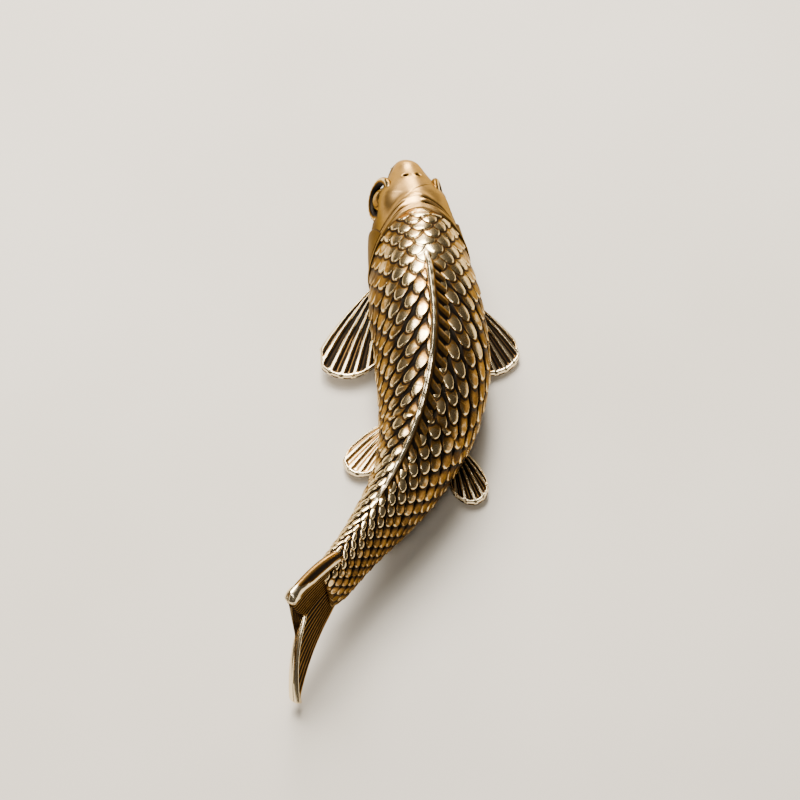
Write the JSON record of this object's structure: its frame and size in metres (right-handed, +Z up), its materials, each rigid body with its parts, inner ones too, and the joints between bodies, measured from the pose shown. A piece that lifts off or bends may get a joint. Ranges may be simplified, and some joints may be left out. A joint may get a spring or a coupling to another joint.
{
  "type": "fish figurine",
  "caption": "Small solid brass carp ornament that lies on its belly, its stalk swung to one side, with scales, ribbed fins and a twisted forked tail",
  "frame": {"origin": "middle of the outer box, on the plane that the belly rests on", "axes": "+Y towards the head, +Z up through the back, +X to the fish's right"},
  "size_m": [0.0316, 0.0814, 0.0202],
  "materials": {
    "scaled_brass": "antique brass, dark patina between polished scales",
    "smooth_brass": "antique brass, satin",
    "polished_brass": "antique brass, polished high spots",
    "fin_brass": "antique brass, dark patina between polished rays"
  },
  "bodies": {
    "root": {"body": "scaled_brass", "head": "smooth_brass", "lower_jaw": "smooth_brass", "left_gill_cover": "smooth_brass", "right_gill_cover": "smooth_brass", "left_eye": "polished_brass", "right_eye": "polished_brass", "left_eye_ring": "polished_brass", "right_eye_ring": "polished_brass", "dorsal_fin": "fin_brass", "anal_fin": "fin_brass", "tail_fin": "fin_brass", "left_pectoral_fin": "fin_brass", "right_pectoral_fin": "fin_brass", "left_pelvic_fin": "fin_brass", "right_pelvic_fin": "fin_brass"}
  },
  "joints": []
}
